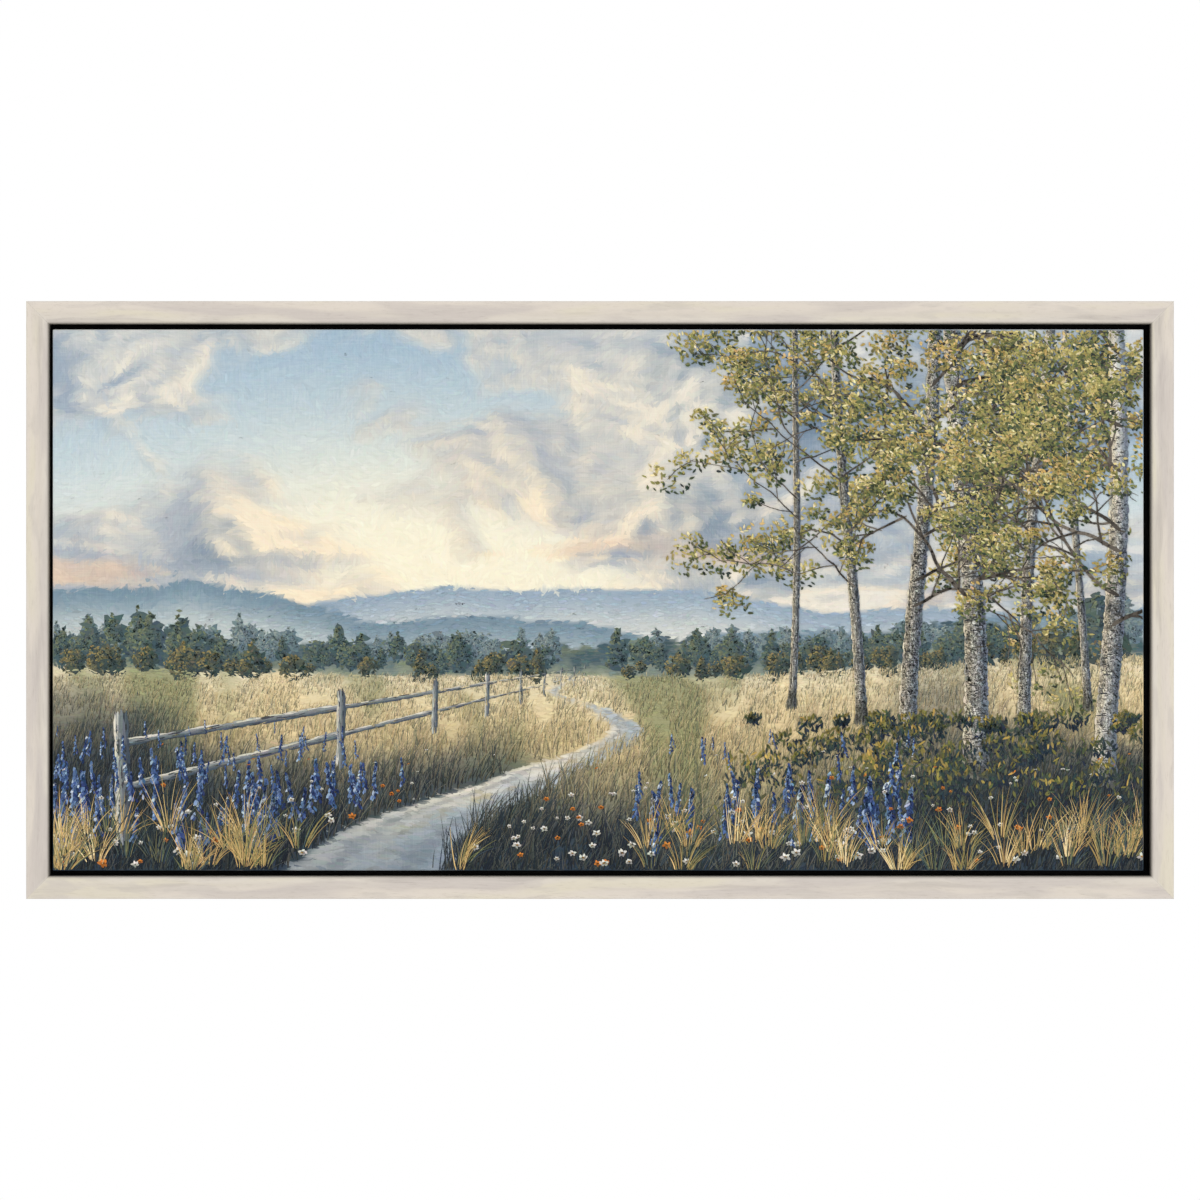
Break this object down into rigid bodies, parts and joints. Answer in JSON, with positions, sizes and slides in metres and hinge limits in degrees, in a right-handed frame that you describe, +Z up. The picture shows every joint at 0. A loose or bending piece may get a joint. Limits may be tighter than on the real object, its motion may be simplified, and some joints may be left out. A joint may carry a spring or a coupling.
{
  "type": "framed canvas picture",
  "caption": "Wide canvas picture stretched on pine bars, floating inside a mitred cream wooden frame with a dark gap round it; hangs flat on a wall.",
  "frame": {"origin": "middle of the whole box, wall bumpers included", "axes": "+X along the picture's width to the viewer's right, +Y towards the wall, +Z up"},
  "size_m": [1.2824, 0.0472, 0.668],
  "materials": {
    "frame_finish": "pale whitewashed cream, softly mottled along the grain, satin",
    "canvas": "primed cotton canvas, painted on the face, raw at the back, matt",
    "stretcher_pine": "bare planed pine",
    "steel": "zinc plated, slightly dull",
    "bumper": "matt dark felt-like rubber"
  },
  "bodies": {
    "root": {"bumper_lower_left": "bumper", "bumper_lower_right": "bumper", "bumper_upper_left": "bumper", "bumper_upper_right": "bumper", "canvas_face": "canvas", "canvas_wrap_bottom": "canvas", "canvas_wrap_left": "canvas", "canvas_wrap_right": "canvas", "canvas_wrap_top": "canvas", "cross_brace_left": "stretcher_pine", "cross_brace_right": "stretcher_pine", "frame_rail_bottom": "frame_finish", "frame_rail_left": "frame_finish", "frame_rail_right": "frame_finish", "frame_rail_top": "frame_finish", "frame_screw_bottom_1": "steel", "frame_screw_bottom_2": "steel", "frame_screw_bottom_3": "steel", "frame_screw_left": "steel", "frame_screw_right": "steel", "frame_screw_top_1": "steel", "frame_screw_top_2": "steel", "frame_screw_top_3": "steel", "hanger_left": "steel", "hanger_right": "steel", "hanger_screw_left_inner": "steel", "hanger_screw_left_outer": "steel", "hanger_screw_right_inner": "steel", "hanger_screw_right_outer": "steel", "stretcher_bar_bottom": "stretcher_pine", "stretcher_bar_left": "stretcher_pine", "stretcher_bar_right": "stretcher_pine", "stretcher_bar_top": "stretcher_pine", "stretcher_key_bottom_end": "stretcher_pine", "stretcher_key_bottom_start": "stretcher_pine", "stretcher_key_left_end": "stretcher_pine", "stretcher_key_left_start": "stretcher_pine", "stretcher_key_right_end": "stretcher_pine", "stretcher_key_right_start": "stretcher_pine", "stretcher_key_top_end": "stretcher_pine", "stretcher_key_top_start": "stretcher_pine"}
  },
  "joints": []
}
